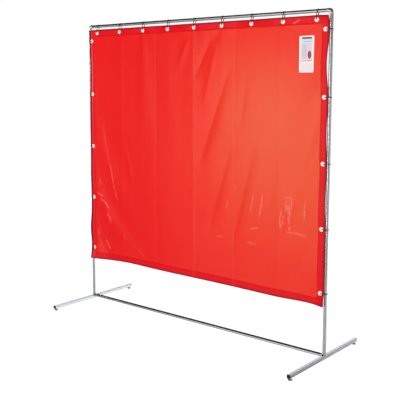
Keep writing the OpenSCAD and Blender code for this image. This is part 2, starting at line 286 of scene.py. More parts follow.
def mix_shaders(nodes, links, factor, a, b):
    """Shader a where factor is 0, b where it is 1."""
    node = nodes.new("ShaderNodeMixShader")
    if isinstance(factor, float):
        node.inputs["Fac"].default_value = factor
    else:
        links.new(factor, node.inputs["Fac"])
    links.new(a, node.inputs[1])
    links.new(b, node.inputs[2])
    return node.outputs["Shader"]


def bump(nodes, links, shader, height, strength, distance):
    """Relief on a shader; returns its normal for another shader to share."""
    node = nodes.new("ShaderNodeBump")
    node.inputs["Strength"].default_value = strength
    node.inputs["Distance"].default_value = distance
    links.new(height, node.inputs["Height"])
    links.new(node.outputs["Normal"], shader.inputs["Normal"])
    return node.outputs["Normal"]


# ---------------- materials


def galvanised():
    """Zinc-coated tube: spangle in its tone, dull blotches and a fine grain."""
    material, nodes, links, shader = new_material("galvanised")
    where = place(nodes, links)
    spangle = nodes.new("ShaderNodeTexVoronoi")
    spangle.inputs["Scale"].default_value = 160
    links.new(where, spangle.inputs["Vector"])
    flake = ramp(nodes, links, spangle.outputs["Color"], [(0.0, 0.0), (1.0, 1.0)])
    blotch = noise(nodes, links, where, 14, 4)
    tone = mix(nodes, links, blotch, (0.46, 0.47, 0.49), (0.60, 0.61, 0.64))
    tone = mix(nodes, links, 0.12, tone, flake)
    links.new(tone, shader.inputs["Base Color"])
    shader.inputs["Metallic"].default_value = 1.0
    rough = math_node(nodes, links, "MULTIPLY_ADD", blotch, 0.16, 0.12)
    links.new(rough, shader.inputs["Roughness"])
    bump(nodes, links, shader, noise(nodes, links, where, 900, 2), 0.12, 0.0002)
    return material


def bright_zinc(name="bright_zinc", base=(0.78, 0.79, 0.8), rough_low=0.24):
    """Bright plated fitting or wire: faint clouding and a fine grain."""
    material, nodes, links, shader = new_material(name)
    where = place(nodes, links)
    cloud = noise(nodes, links, where, 60, 4)
    tone = mix(nodes, links, cloud, tuple(0.82 * c for c in base), base)
    links.new(tone, shader.inputs["Base Color"])
    shader.inputs["Metallic"].default_value = 1.0
    rough = math_node(nodes, links, "MULTIPLY_ADD", cloud, 0.2, rough_low)
    links.new(rough, shader.inputs["Roughness"])
    bump(nodes, links, shader, noise(nodes, links, where, 1400, 3), 0.15, 0.0002)
    return material


def black_plastic(name, base, roughness, grain_scale):
    """Moulded black plastic or rubber: fine grain and slightly greyer rubbed patches."""
    material, nodes, links, shader = new_material(name)
    where = place(nodes, links)
    rubbed = ramp(nodes, links, noise(nodes, links, where, 90, 4), [(0.45, 0.0), (0.75, 1.0)])
    tone = mix(nodes, links, rubbed, base, tuple(c * 1.8 + 0.004 for c in base))
    links.new(tone, shader.inputs["Base Color"])
    rough = math_node(nodes, links, "MULTIPLY_ADD", rubbed, 0.15, roughness)
    links.new(rough, shader.inputs["Roughness"])
    shader.inputs["Specular IOR Level"].default_value = 0.25
    bump(nodes, links, shader, noise(nodes, links, where, grain_scale, 2), 0.25, 0.0002)
    return material


def cream_plastic():
    """Off-white grommet plastic with a soft shine and slight yellowing."""
    material, nodes, links, shader = new_material("cream_plastic")
    where = place(nodes, links)
    aged = noise(nodes, links, where, 70, 3)
    tone = mix(nodes, links, aged, (0.96, 0.90, 0.84), (0.92, 0.80, 0.70))
    links.new(tone, shader.inputs["Base Color"])
    shader.inputs["Roughness"].default_value = 0.32
    shader.inputs["Subsurface Weight"].default_value = 0.15
    shader.inputs["Subsurface Radius"].default_value = (0.004, 0.003, 0.002)
    bump(nodes, links, shader, noise(nodes, links, where, 800, 2), 0.1, 0.0002)
    return material


# The film's colours: its own deep red through to a painted sheen that stands in for reflected
# light, seen straight through, its border, the border's dark edge (also the painted shade of the
# uprights' dark sides behind it), a painted glint on a sharp mark, and an upright's lit side
# painted on the border
FILM_DEEP = (0.89, 0.004, 0.010)
FILM_MID = (0.91, 0.030, 0.015)
FILM_SHEEN = (0.885, 0.125, 0.042)
FILM_CLEAR = (0.9, 0.03, 0.02)
HEM_RED = (0.84, 0.004, 0.016)
HEM_EDGE_AND_SHADE = (0.30, 0.004, 0.018)
GLINT_PALE = (0.98, 0.42, 0.36)
UPRIGHT_LIGHT = (0.98, 0.30, 0.26)
# Where along the film the painted sheen comes in, from none to full
SHEEN_ACROSS = (-0.6 * HALF_W, 0.75 * HALF_W)
# How strong the painted sheen is up the film's height, as (height, share)
SHEEN_UPWARD = (
    (0.25, 0.36), (0.45, 0.46), (0.65, 0.66), (0.90, 0.88), (1.15, 1.0), (1.40, 0.98),
    (1.60, 0.82), (1.72, 0.66), (1.85, 0.48),
)
# and how much of that painted sheen is left towards the top right corner, by X plus this share of Z
CORNER_LEAN = 0.8
SHEEN_CORNER = ((1.62, 1.0), (2.20, 0.74))
# How much the painted sheen varies in slow clouds
SHEEN_CLOUD = 0.4
# How much of the border's colour is its own
BORDER_SHARE = 0.92
# Share of its light that comes through the film, and shares of clear view through one layer
# and through the doubled border
THROUGH_SHARE = 0.35
CLEAR_SHARE, CLEAR_DOUBLED = 0.10, 0.03


def painted_sheen(nodes, links, where):
    """0 where the film shows its own deep colour, 1 where it is painted pale as reflected sheen."""
    x, _, z = split(nodes, links, where)
    across = range_share(nodes, links, x, *SHEEN_ACROSS, "SMOOTHSTEP")
    sheen = math_node(nodes, links, "MULTIPLY", profile(nodes, links, z, SHEEN_UPWARD), across)
    cornered = math_node(nodes, links, "MULTIPLY_ADD", z, CORNER_LEAN, x)
    clearer = profile(nodes, links, cornered, SHEEN_CORNER)
    sheen = math_node(nodes, links, "MULTIPLY", sheen, clearer)
    cloud = noise(nodes, links, place(nodes, links, (1.0, 1.0, 0.45)), 2.2, 3)
    cloud = math_node(nodes, links, "MULTIPLY_ADD", cloud, SHEEN_CLOUD, -SHEEN_CLOUD / 2)
    return math_node(nodes, links, "ADD", sheen, cloud, clamp=True)


def border_colour(nodes, links, colour):
    """Deeper where the film is doubled, dark along its edge, with painted shade and painted light
    of the uprights behind it.
    """
    border = mix(nodes, links, stored(nodes, "fold"), HEM_RED, HEM_EDGE_AND_SHADE)
    colour = mix(nodes, links, BORDER_SHARE, colour, border)
    return mix(nodes, links, stored(nodes, "upright"), colour, UPRIGHT_LIGHT)


def glinted_colour(nodes, links, colour, where):
    """Painted glints: pale and patchy along the film's sharp marks and packing creases."""
    patchy = ramp(nodes, links, noise(nodes, links, where, 75, 3), [(0.36, 0.25), (0.60, 1.25)])
    painted_glint = math_node(nodes, links, "MULTIPLY", stored(nodes, "painted_glint"), patchy, clamp=True)
    return mix(nodes, links, painted_glint, colour, GLINT_PALE)


def film_relief(nodes, links):
    """Height of the film's fine pull lines and slow ripple, both longest up its height."""
    pull = noise(nodes, links, place(nodes, links, (1.0, 1.0, 0.10)), 70, 4, 0.6)
    ripple = noise(nodes, links, place(nodes, links, (1.0, 1.0, 0.35)), 10, 3, 0.5)
    return math_node(nodes, links, "MULTIPLY_ADD", pull, 0.10, ripple)


def clear_film(name, doubled):
    """Clear red-orange PVC: a glossy skin over a film that light passes through.

    The doubled border is deeper in colour, less clear and less shiny.
    """
    material, nodes, links, shader = new_material(name)
    where = place(nodes, links)
    # the base colour carries a painted sheen in place of reflected light, deep red where there is
    # none
    sheen = painted_sheen(nodes, links, where)
    stops = [(0.0, FILM_DEEP), (0.5, FILM_MID), (1.0, FILM_SHEEN)]
    colour = ramp(nodes, links, sheen, stops)
    if doubled:
        colour = border_colour(nodes, links, colour)
    colour = glinted_colour(nodes, links, colour, where)
    links.new(colour, shader.inputs["Base Color"])
    tint = (1.0, 0.7, 0.75, 1) if doubled else (1.0, 0.85, 0.55, 1)
    shader.inputs["Roughness"].default_value = 0.24
    shader.inputs["Specular IOR Level"].default_value = 0.22 if doubled else 0.5
    shader.inputs["Specular Tint"].default_value = tint
    shader.inputs["Coat Weight"].default_value = 0.12 if doubled else 0.35
    shader.inputs["Coat Roughness"].default_value = 0.08
    normal = bump(nodes, links, shader, film_relief(nodes, links), 0.25, 0.004)
    links.new(normal, shader.inputs["Coat Normal"])
    through = nodes.new("ShaderNodeBsdfTranslucent")
    links.new(colour, through.inputs["Color"])
    links.new(normal, through.inputs["Normal"])
    skin, glow = shader.outputs["BSDF"], through.outputs["BSDF"]
    lit = mix_shaders(nodes, links, THROUGH_SHARE, skin, glow)
    clear = nodes.new("ShaderNodeBsdfTransparent")
    clear.inputs["Color"].default_value = (*FILM_CLEAR, 1)
    clearness = CLEAR_DOUBLED if doubled else CLEAR_SHARE
    film = mix_shaders(nodes, links, clearness, lit, clear.outputs["BSDF"])
    links.new(film, nodes["Material Output"].inputs["Surface"])
    return material


def between(nodes, links, value, low, high):
    """1 where value lies between low and high, 0 elsewhere."""
    above = math_node(nodes, links, "GREATER_THAN", value, low)
    below = math_node(nodes, links, "LESS_THAN", value, high)
    return math_node(nodes, links, "MULTIPLY", above, below)


def oval_mask(nodes, links, u, v, middle, half):
    """1 inside an oval of the label's own coordinates, 0 outside."""
    squares = []
    for value, at, reach in zip((u, v), middle, half):
        away = math_node(nodes, links, "MULTIPLY_ADD", value, 1 / reach, -at / reach)
        squares.append(math_node(nodes, links, "POWER", away, 2))
    return math_node(nodes, links, "LESS_THAN", math_node(nodes, links, "ADD", *squares), 1.0)


# The label's printed blocks, as left, right, low and high shares of its face, and their ink
LABEL_BLOCKS = (
    (0.12, 0.88, 0.34, 0.93, (0.66, 0.60, 0.66)),
    (0.18, 0.84, 0.915, 0.960, (0.07, 0.03, 0.04)),
    (0.20, 0.84, 0.80, 0.90, (0.62, 0.68, 0.80)),
    (0.28, 0.78, 0.835, 0.855, (0.32, 0.38, 0.55)),
    (0.20, 0.50, 0.40, 0.76, (0.56, 0.53, 0.60)),
    (0.08, 0.92, 0.305, 0.325, (0.35, 0.06, 0.10)),
    (0.10, 0.90, 0.03, 0.27, (0.78, 0.68, 0.70)),
)
# and its oval: middle, half width and half height, ink
LABEL_OVAL = ((0.70, 0.48), (0.12, 0.11), (0.35, 0.01, 0.03))


def label_material():
    """White vinyl with plain printed blocks and one plain oval, nothing to read."""
    material, nodes, links, shader = new_material("label_print")
    u, v, _ = split(nodes, links, nodes.new("ShaderNodeUVMap").outputs["UV"])
    aged = noise(nodes, links, place(nodes, links), 40, 3)
    colour = mix(nodes, links, aged, (0.92, 0.80, 0.79), (0.95, 0.84, 0.83))
    for left, right, low, high, ink in LABEL_BLOCKS:
        across = between(nodes, links, u, left, right)
        upward = between(nodes, links, v, low, high)
        inside = math_node(nodes, links, "MULTIPLY", across, upward)
        colour = mix(nodes, links, inside, colour, ink)
    middle, half, ink = LABEL_OVAL
    colour = mix(nodes, links, oval_mask(nodes, links, u, v, middle, half), colour, ink)
    links.new(colour, shader.inputs["Base Color"])
    shader.inputs["Roughness"].default_value = 0.42
    bump(nodes, links, shader, noise(nodes, links, place(nodes, links), 700, 2), 0.1, 0.0002)
    return material


# ---------------- the film


# Cells of the grid that the simulation runs on, and its last frame
SIM_GRID = (120, 104)
SIM_FRAMES = 45
# The flat film starts bowed back and slightly rippled, which settles which way it folds
START_BOW, START_RIPPLE = 0.012, 0.0015
# Points of the simulated film this near a grommet's axis are held
PIN_REACH = 0.0125
# The film's cloth settings; the negative shrink_min makes it longer than the gap it fills by
# that share, which it takes up in shallow folds
CLOTH = {
    "quality": 7,
    "mass": 0.12,
    "air_damping": 4,
    "tension_stiffness": 30,
    "compression_stiffness": 30,
    "shear_stiffness": 12,
    "bending_stiffness": 8,
    "shrink_min": -0.0006,
}
# Share of the simulated folds' depth that is kept, because stiff film folds less than a fine
# mesh, and what is left of that at the left edge, rising to all of it CALM_W further in
FOLD_SHARE = 0.6
LEFT_SHARE, CALM_W = 0.35, 0.5


def simulate(points, centres):
    """Hangs the film from its grommets by cloth simulation; returns the draped points."""
    scene = bpy.context.scene
    start = points.copy()
    x, z = points[..., 0] / HALF_W, (points[..., 2] - BOTTOM_Z) / FILM_HEIGHT
    bow = START_BOW * np.cos(x * math.pi / 2) * (1 - z)
    start[..., 1] += bow + START_RIPPLE * np.sin(9 * x + 4 * z)
    quads = grid_quads(*SIM_GRID).reshape(-1, 4)
    mesh = bpy.data.meshes.new("film_sim")
    mesh.from_pydata(start.reshape(-1, 3).tolist(), [], quads.tolist())
    sim = bpy.data.objects.new("film_sim", mesh)
    scene.collection.objects.link(sim)
    held = np.where(nearest_grommet(points, centres).ravel() < PIN_REACH)[0].tolist()
    sim.vertex_groups.new(name="pins").add(held, 1.0, "REPLACE")
    for i in held:
        mesh.vertices[i].co.y = FILM_Y
    cloth = sim.modifiers.new("Cloth", "CLOTH")
    cloth.settings.vertex_group_mass = "pins"
    for name, value in CLOTH.items():
        setattr(cloth.settings, name, value)
    cloth.point_cache.frame_start = 1
    cloth.point_cache.frame_end = SIM_FRAMES
    for step in range(1, SIM_FRAMES + 1):
        scene.frame_set(step)
    evaluated = sim.evaluated_get(bpy.context.evaluated_depsgraph_get())
    out = np.empty(len(mesh.vertices) * 3)
    evaluated.data.vertices.foreach_get("co", out)
    scene.frame_set(1)
    bpy.data.objects.remove(sim)
    return out.reshape(points.shape)


def smooth_resample(values, columns, rows):
    """Cubic resampling of a grid [i, j, xyz] to columns by rows cells."""

    def along(grid, count):
        n = grid.shape[0] - 1
        t = np.linspace(0, n, count + 1)
        i = np.minimum(t.astype(int), n - 1)
        f = (t - i).reshape((-1,) + (1,) * (grid.ndim - 1))
        before, here = grid[np.maximum(i - 1, 0)], grid[i]
        there, after = grid[i + 1], grid[np.minimum(i + 2, n)]
        cubic = f * (3 * (here - there) + after - before)
        square = f * (2 * before - 5 * here + 4 * there - after + cubic)
        return here + 0.5 * f * (there - before + square)

    dense = along(values, columns)
    return along(dense.swapaxes(0, 1), rows).swapaxes(0, 1)


def simulated_drape(centres):
    """How far each point of the film's dense grid moves as the film hangs."""
    coarse = film_grid(*SIM_GRID)
    moved = simulate(coarse, centres) - coarse
    calm = np.clip((coarse[..., 0] + HALF_W) / CALM_W, 0, 1)
    moved[..., 1] *= FOLD_SHARE * (LEFT_SHARE + (1 - LEFT_SHARE) * calm)
    return smooth_resample(moved, COLUMNS, ROWS)


# Soft drapes: (x, z) at the top and bottom end of each, half width, depth towards the back
DRAPES = (
    ((0.27, 1.60), (0.03, 0.98), 0.034, 0.0034),
    ((0.18, 1.74), (0.07, 1.34), 0.030, -0.0022),
    ((0.13, 1.74), (0.00, 1.50), 0.026, 0.0020),
    ((-0.03, 1.76), (-0.12, 1.58), 0.024, -0.0014),
    ((0.28, 1.15), (0.10, 0.60), 0.030, 0.0034),
    ((0.22, 1.02), (0.08, 0.62), 0.022, -0.0018),
    ((0.44, 1.15), (0.28, 0.55), 0.030, 0.0034),
    ((0.38, 1.50), (0.33, 1.20), 0.026, 0.0016),
    ((0.60, 1.10), (0.52, 0.70), 0.028, 0.0016),
    ((-0.60, 1.12), (-0.50, 0.82), 0.020, -0.0006),
    ((-0.82, 0.76), (-0.70, 0.55), 0.018, -0.0007),
    ((-0.85, 0.54), (-0.72, 0.37), 0.018, -0.0006),
    ((-0.55, 0.64), (-0.42, 0.38), 0.018, -0.0004),
)
# Marks left by handling: the run of each as (x, z) points, half width, depth, share painted pale as
# a glint
KINKS = (
    (((-0.78, 1.22), (-0.745, 1.05), (-0.71, 0.93)), 0.005, 0.0004, 0.14),
    (((-0.72, 0.96), (-0.70, 0.89), (-0.68, 0.80), (-0.65, 0.71)), 0.005, 0.0006, 0.34),
    (((-0.565, 1.09), (-0.53, 0.97), (-0.51, 0.85)), 0.005, 0.0003, 0.06),
    (((-0.82, 0.85), (-0.805, 0.81)), 0.005, 0.0005, 0.22),
    (((-0.84, 0.755), (-0.82, 0.74), (-0.79, 0.73)), 0.005, 0.0010, 0.55),
    (((-0.81, 0.71), (-0.785, 0.70), (-0.755, 0.685)), 0.005, 0.0010, 0.50),
    (((-0.765, 0.69), (-0.745, 0.67), (-0.73, 0.655)), 0.005, 0.0012, 0.70),
    (((-0.75, 0.62), (-0.725, 0.59), (-0.71, 0.56)), 0.005, 0.0010, 0.45),
    (((-0.83, 0.51), (-0.83, 0.45)), 0.005, 0.0005, 0.30),
    (((-0.765, 0.44), (-0.72, 0.375)), 0.005, 0.0006, 0.34),
    (((-0.47, 0.42), (-0.41, 0.37)), 0.005, 0.0004, 0.10),
    (((0.255, 0.81), (0.245, 0.765)), 0.005, 0.0012, 0.50),
    (((0.315, 0.91), (0.305, 0.875)), 0.005, 0.0012, 0.45),
    (((0.435, 0.87), (0.425, 0.81), (0.41, 0.75)), 0.005, 0.0014, 0.52),
    (((0.495, 0.87), (0.49, 0.81), (0.475, 0.74)), 0.005, 0.0016, 0.70),
    (((0.625, 0.80), (0.615, 0.74), (0.62, 0.68)), 0.006, 0.0016, 0.62),
    (((0.635, 0.77), (0.63, 0.71)), 0.005, 0.0012, 0.45),
    (((0.645, 0.85), (0.65, 0.78)), 0.005, 0.0014, 0.45),
    (((0.67, 0.835), (0.675, 0.78), (0.67, 0.72)), 0.007, 0.0016, 0.75),
    (((0.655, 0.82), (0.665, 0.79)), 0.006, 0.0012, 0.60),
    (((0.69, 0.86), (0.685, 0.80)), 0.005, 0.0014, 0.55),
    (((0.675, 0.71), (0.675, 0.69)), 0.006, 0.0014, 0.70),
    (((0.63, 0.86), (0.69, 0.865)), 0.005, 0.0010, 0.32),
    (((0.64, 0.845), (0.685, 0.845)), 0.005, 0.0010, 0.28),
    (((0.775, 0.86), (0.77, 0.81), (0.77, 0.755)), 0.005, 0.0014, 0.55),
    (((0.655, 0.675), (0.72, 0.675), (0.785, 0.665)), 0.005, 0.0010, 0.42),
    (((0.42, 0.665), (0.47, 0.675)), 0.005, 0.0010, 0.34),
    (((0.395, 0.585), (0.46, 0.58)), 0.005, 0.0010, 0.30),
    (((0.17, 0.59), (0.225, 0.59)), 0.005, 0.0008, 0.26),
    (((0.68, 1.79), (0.72, 1.81)), 0.005, 0.0005, 0.40),
)
# How sharply a drape and a mark fall off to their sides, how much of a mark is left at its two
# ends, and the share of its run over which it comes down to that
DRAPE_SHARP, KINK_SHARP = 1.5, 1.7
KINK_END, KINK_FADE = 0.25, 0.125
# How much narrower than its mark a painted glint line is, and the width of one on a packing crease
GLINT_WIDTH_SHARE, GLINT_LINE = 0.8, 0.005
# Upright packing creases: how strong each is, left to right, and how strong the painted glint on
# its line is
CREASES = ((0.30, 0.00), (0.25, 0.00), (0.70, 0.10), (0.60, 0.06), (0.65, 0.00))
# The film was also folded into this many lengths
LEVEL_FOLDS = 4
# Each crease is a wide low ridge with a narrow line along it, as (height, width)
UPRIGHT_RIDGE, UPRIGHT_LINE = (0.0010, 0.10), (0.0004, 0.006)
LEVEL_RIDGE, LEVEL_LINE = (0.0006, 0.06), (0.00025, 0.008)
# How far each side edge draws in between its ties, from the lowest gap up; below 0, it bags
# out. The left edge also bags out at one height, as (height, half length, depth)
LEFT_SCALLOPS = (-0.005, -0.004, 0.000, 0.004)
RIGHT_SCALLOPS = (0.001, 0.002, 0.004, 0.012)
LEFT_BAG = (0.485, 0.09, 0.009)
SCALLOP_REACH = 0.05
# Where the free bottom edge rides up, as (X, half width, rise), and how far up that is felt
BOTTOM_LIFTS = ((-0.56, 0.22, 0.010), (0.80, 0.14, 0.011))
LIFT_REACH = 0.12
# How the free bottom corners curl forward, as (side, width, depth), and how far up
CORNER_CURLS = ((-1, 0.16, 0.018), (1, 0.12, 0.010))
CURL_REACH = 0.15


def ridge(x, z, ends, half_w):
    """1 along a straight run, fading out to its ends and its sides."""
    a, b = np.array(ends[0]), np.array(ends[1])
    along = b - a
    length = np.linalg.norm(along)
    t = ((x - a[0]) * along[0] + (z - a[1]) * along[1]) / length**2
    off = ((x - a[0]) * along[1] - (z - a[1]) * along[0]) / length
    inside = np.clip(t, 0, 1)
    past_end = np.exp(-(((t - inside) * length / half_w) ** 2))
    fade = np.sin(math.pi * inside) ** 0.6 * past_end
    return fade * np.exp(-(np.abs(off / half_w) ** DRAPE_SHARP))


def bent_ridge(x, z, run, half_w):
    """1 along a run of points, fading towards its ends and out to its sides."""
    run = np.array(run)
    lengths = np.linalg.norm(np.diff(run, axis=0), axis=1)
    total, before = lengths.sum(), 0.0
    nearest = np.full(x.shape, np.inf)
    share = np.zeros_like(x)
    for a, b, length in zip(run[:-1], run[1:], lengths):
        t = np.clip(((x - a[0]) * (b[0] - a[0]) + (z - a[1]) * (b[1] - a[1])) / length**2, 0, 1)
        away = np.hypot(x - a[0] - t * (b[0] - a[0]), z - a[1] - t * (b[1] - a[1]))
        closer = away < nearest
        nearest = np.where(closer, away, nearest)
        share = np.where(closer, (before + t * length) / total, share)
        before += length
    inwards = np.minimum(share, 1 - share) / KINK_FADE
    fade = np.clip(KINK_END + (1 - KINK_END) * inwards, 0, 1)
    return fade * np.exp(-((nearest / half_w) ** KINK_SHARP))


def drape_depth(x, z):
    """Depth of the soft drapes and the handling marks at flat film coordinates."""
    depth = np.zeros_like(x)
    for top, low, half_w, height in DRAPES:
        depth += height * ridge(x, z, (top, low), half_w)
    for k, (run, half_w, height, _) in enumerate(KINKS):
        # one mark in three is pushed to the back, the others to the front
        side = -1 if k % 3 else 1
        depth += side * height * bent_ridge(x, z, run, half_w)
    return depth


def from_creases(x):
    """Distance from each upright packing crease, with its number, strength and painted glint."""
    step = 2 * HALF_W / CREASE_COUNT
    for k, (strength, pale) in enumerate(CREASES, 1):
        yield np.abs(x + HALF_W - k * step), k, strength, pale


def painted_glint_share(x, z):
    """How much painted glint lies along the film's marks and its packing creases."""
    share = np.zeros_like(x)
    for run, half_w, _, pale in KINKS:
        share = np.maximum(share, pale * bent_ridge(x, z, run, GLINT_WIDTH_SHARE * half_w))
    for away, _, _, pale in from_creases(x):
        share = np.maximum(share, pale * np.exp(-away / GLINT_LINE))
    return share


def falling(away, height, width):
    """Height on a line, falling off with the distance from it."""
    return height * np.exp(-away / width)


def crease_depth(x, z):
    """Low ridges where the film was folded to pack it, upright and level."""
    depth = np.zeros_like(x)
    for away, k, strength, _ in from_creases(x):
        side = -1 if k % 2 else 1
        depth += side * (strength * falling(away, *UPRIGHT_RIDGE) + falling(away, *UPRIGHT_LINE))
    for k in range(1, LEVEL_FOLDS):
        away = np.abs(z - BOTTOM_Z - FILM_HEIGHT * k / LEVEL_FOLDS)
        depth += falling(away, *LEVEL_RIDGE) + falling(away, *LEVEL_LINE)
    return depth


def side_scallop(x, z, centres):
    """How far the film moves along X near its side edges, between the ties."""
    heights = np.sort(centres[TOP_GROMMETS : TOP_GROMMETS + SIDE_GROMMETS, 1])
    share = (z - heights[0]) / (heights[1] - heights[0])
    gap = np.clip(share.astype(int), 0, SIDE_GROMMETS - 2)
    tied = (share > 0) & (share < SIDE_GROMMETS - 1)
    depth = np.where(x > 0, np.array(RIGHT_SCALLOPS)[gap], np.array(LEFT_SCALLOPS)[gap])
    pull = np.where(tied, np.sin(math.pi * share) ** 2, 0)
    height, half, out = LEFT_BAG
    bag = np.where(x < 0, out * np.exp(-(((z - height) / half) ** 2)), 0)
    inset = HALF_W - np.abs(x)
    return (-np.sign(x) * depth * pull - bag) * np.exp(-inset / SCALLOP_REACH)


def bottom_wave(x, z):
    """How far the free bottom edge rides up either side of the middle."""
    rise = sum(up * np.exp(-(((x - at) / half) ** 2)) for at, half, up in BOTTOM_LIFTS)
    return rise * np.exp(-(z - BOTTOM_Z) / LIFT_REACH)


def corner_curl(x, z):
    """How far the two free bottom corners stand forward of the last tie."""
    low = np.clip(1 - (z - BOTTOM_Z) / CURL_REACH, 0, 1)
    curl = 0
    for side, width, depth in CORNER_CURLS:
        curl += depth * np.clip(1 - (HALF_W - side * x) / width, 0, 1) ** 1.5
    return curl * low**1.4


def draped_film(centres):
    """The film flat and draped, as dense grids of points, and the draped one's normals."""
    flat = film_grid(COLUMNS, ROWS)
    points = flat + simulated_drape(centres)
    x, z = flat[..., 0], flat[..., 2]
    gap = nearest_grommet(flat, centres)
    loose = 1 - np.exp(-np.clip(gap - HELD_R, 0, None) / HELD_EASE)
    relief = (drape_depth(x, z) + crease_depth(x, z)) * loose
    points += grid_normals(points) * relief[..., None]
    points[..., 0] += side_scallop(x, z, centres) * loose
    points[..., 1] -= corner_curl(x, z)
    points[..., 2] += bottom_wave(x, z) * loose
    over_upright = np.clip((np.abs(x) - UPRIGHT_INNER) / UPRIGHT_EASE, 0, 1)
    limit = FILM_Y + BACK_PLAY + FREE_PLAY * (1 - over_upright)
    points[..., 1] = np.minimum(points[..., 1], limit)
    points[gap < HELD_R, 1] = FILM_Y
    return flat, points, grid_normals(points)


def open_grommet_holes(flat, points, centres):
    """Cells to keep, with the film's points drawn back to a round hole at each grommet."""
    x, z = flat[..., 0], flat[..., 2]
    keep = np.ones((flat.shape[0] - 1, flat.shape[1] - 1), bool)
    for cx, cz in centres:
        away = np.hypot(x - cx, z - cz)
        inner = away < HOLE_R
        cut = inner[:-1, :-1] | inner[1:, :-1] | inner[1:, 1:] | inner[:-1, 1:]
        keep &= ~cut
        ring = np.zeros_like(inner)
        for di in (0, 1):
            for dj in (0, 1):
                ring[di : ring.shape[0] - 1 + di, dj : ring.shape[1] - 1 + dj] |= cut
        ring &= ~inner
        pull = HOLE_R * HOLE_ROOM / away[ring]
        points[ring, 0] = cx + (x[ring] - cx) * pull
        points[ring, 2] = cz + (z[ring] - cz) * pull
        points[ring, 1] = FILM_Y
    return keep


# Width of the dark line along the film's outer edges
EDGE_LINE = 0.007
# Painted shade of the uprights' dark sides behind the film, as (side, width from the film's
# edge, strength), and the width over which it fades in
DARK_BANDS = ((-1, 0.018, 1.0), (1, 0.012, 0.6))
BAND_FADE = 0.005
# Painted light of the left upright's lit side behind the film: distance from the film's edge to
# its middle, half width, and how strongly it is painted up the film's height, as (height, share)
LIT_INSET, LIT_HALF_W = 0.0215, 0.0055
LIT_UPWARD = (
    (0.30, 0.16), (0.45, 0.10), (1.05, 0.12), (1.35, 0.30), (1.45, 0.62), (1.65, 0.50),
    (1.78, 0.20), (1.83, 0.10),
)


def edge_and_shade_share(flat):
    """1 along the film's outer edges, and painted shade where the uprights' dark sides stand behind
    it.
    """
    x, z = flat[..., 0], flat[..., 2]
    inset = np.minimum.reduce([HALF_W - np.abs(x), TOP_Z - z, z - bottom_edge(x)])
    dark = np.exp(-((inset / EDGE_LINE) ** 2))
    for side, width, strength in DARK_BANDS:
        band = np.clip((width - (HALF_W - side * x)) / BAND_FADE, 0, 1)
        dark = np.maximum(dark, strength * band)
    return dark


def upright_share(flat):
    """How much painted light of the left upright's lit side lies on the film."""
    x, z = flat[..., 0], flat[..., 2]
    strip = np.exp(-(np.abs((x + HALF_W - LIT_INSET) / LIT_HALF_W) ** 3))
    return strip * np.interp(z, *zip(*LIT_UPWARD))


# The beads round the film: length of their steps, sides, and the radius of the rolled edge and
# of the line where the turned border is heat-sealed
BEAD_STEP, BEAD_SIDES = 0.006, 6
FOLD_R, WELD_R = 0.0007, 0.0005
# The label's grid, thickness and corner radius
LABEL_GRID = (20, 46)
LABEL_T = 0.00025
LABEL_CORNER = 0.006


def hem_cells(keep):
    """Cells of the doubled border."""
    border = np.ones_like(keep)
    border[HEM_COLUMNS:-HEM_COLUMNS, HEM_ROWS:-HEM_ROWS] = False
    return border & keep


def sample(grid, i, j):
    """A grid's value at fractional column i and row j."""
    i0, j0 = np.floor(i).astype(int), np.floor(j).astype(int)
    i0 = np.clip(i0, 0, grid.shape[0] - 2)
    j0 = np.clip(j0, 0, grid.shape[1] - 2)
    fi, fj = (i - i0)[..., None], (j - j0)[..., None]
    low = grid[i0, j0] * (1 - fi) + grid[i0 + 1, j0] * fi
    high = grid[i0, j0 + 1] * (1 - fi) + grid[i0 + 1, j0 + 1] * fi
    return low * (1 - fj) + high * fj


def perimeter(inset_columns, inset_rows):
    """Closed run of (column, row) places round the film, inset from its edges."""
    right, top = COLUMNS - inset_columns, ROWS - inset_rows
    corners = [(inset_columns, inset_rows), (right, inset_rows), (right, top), (inset_columns, top)]
    places = []
    for k, (i, j) in enumerate(corners):
        ni, nj = corners[(k + 1) % 4]
        run = math.hypot((ni - i) * 2 * HALF_W / COLUMNS, (nj - j) * FILM_HEIGHT / ROWS)
        count = round(run / BEAD_STEP)
        for s in range(count):
            places.append((i + (ni - i) * s / count, j + (nj - j) * s / count))
    return np.array(places)


def tube_along(path, normals, radius):
    """Tube round a closed run of points; returns points and faces."""
    ahead = np.roll(path, -1, axis=0) - np.roll(path, 1, axis=0)
    ahead /= np.linalg.norm(ahead, axis=1, keepdims=True)
    across = np.cross(ahead, normals)
    across /= np.linalg.norm(across, axis=1, keepdims=True)
    up = np.cross(across, ahead)
    rings = []
    for k in range(BEAD_SIDES):
        angle = 2 * math.pi * k / BEAD_SIDES
        rings.append(path + radius * (math.cos(angle) * across + math.sin(angle) * up))
    points = np.stack(rings, axis=1).reshape(-1, 3)
    faces = []
    for n in range(len(path)):
        here, there = n * BEAD_SIDES, (n + 1) % len(path) * BEAD_SIDES
        for k in range(BEAD_SIDES):
            q = (k + 1) % BEAD_SIDES
            faces.append((here + k, here + q, there + q, there + k))
    return points, faces


def film_sheet(name, points, normals, cells, back, material, shares):
    """Some cells of the film as a closed sheet; shares are values per grid point, by name."""
    solid, faces, source = sheet_solid(points, normals, cells, -FILM_T - LAYER_GAP, back)
    piece = new_piece(name, solid, faces, material)
    for share, values in shares.items():
        add_share(piece, share, values.ravel()[source])
    return piece


def film_bead(name, points, normals, inset, lift, radius, material):
    """A thin tube round the film, inset from its edges and lifted towards its front."""
    columns, rows = perimeter(*inset).T
    normal = sample(normals, columns, rows)
    path = sample(points, columns, rows) - normal * lift
    piece = new_piece(name, *tube_along(path, normal, radius), material)
    return piece


